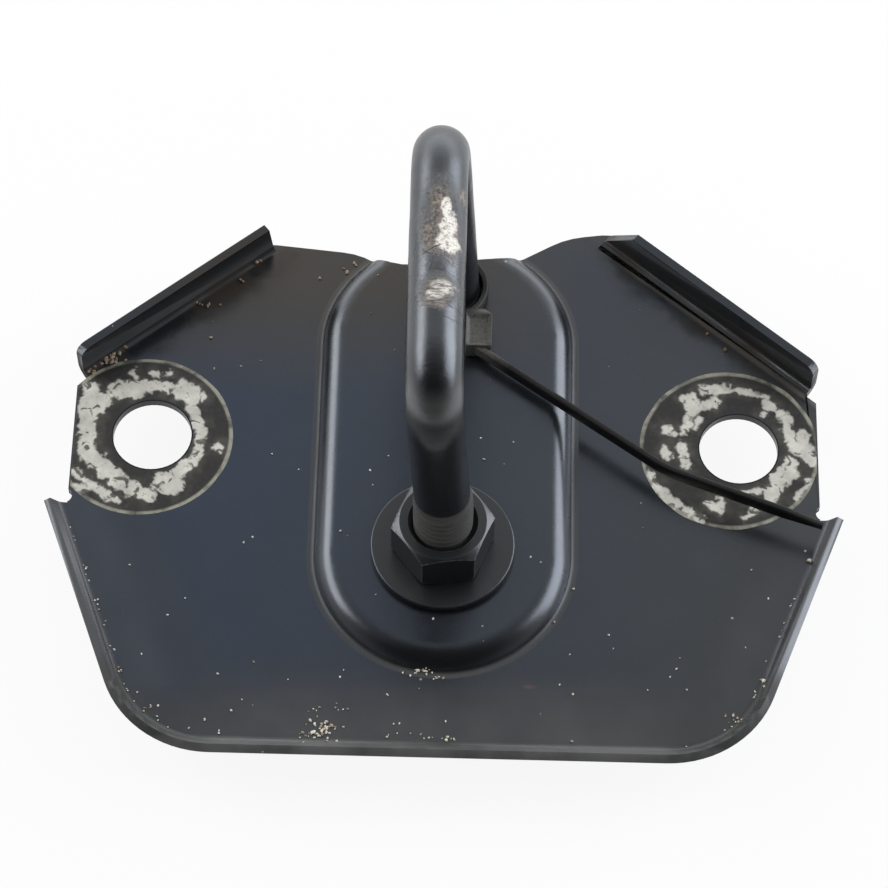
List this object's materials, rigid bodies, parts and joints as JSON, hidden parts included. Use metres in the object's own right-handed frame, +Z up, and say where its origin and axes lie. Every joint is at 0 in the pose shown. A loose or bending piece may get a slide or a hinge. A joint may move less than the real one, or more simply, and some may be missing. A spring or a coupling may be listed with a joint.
{
  "type": "hood latch striker",
  "caption": "Hood latch striker: a bent round-bar loop bolted upright on a pressed steel plate with a raised boss, turned edges and bolt holes, a cable tie left on its rear leg.",
  "frame": {"origin": "midway between the two bolt holes, on the mounting face under the plate", "axes": "+X from the left bolt hole to the right one, +Y to the rear edge of the plate, +Z up out of the plate along the loop's legs"},
  "size_m": [0.1348, 0.1018, 0.067],
  "materials": {
    "plate_paint": "glossy black dip coat over pressed sheet steel",
    "bar_paint": "black coat over round steel bar, chipped and a little rusted",
    "fastener_paint": "black coat over steel",
    "tie_nylon": "black moulded nylon"
  },
  "bodies": {
    "root": {"base_plate": "plate_paint", "striker_loop": "bar_paint", "upper_washer": "fastener_paint", "upper_nut": "fastener_paint", "lower_washer": "fastener_paint", "lower_nut": "fastener_paint", "cable_tie": "tie_nylon"}
  },
  "joints": []
}
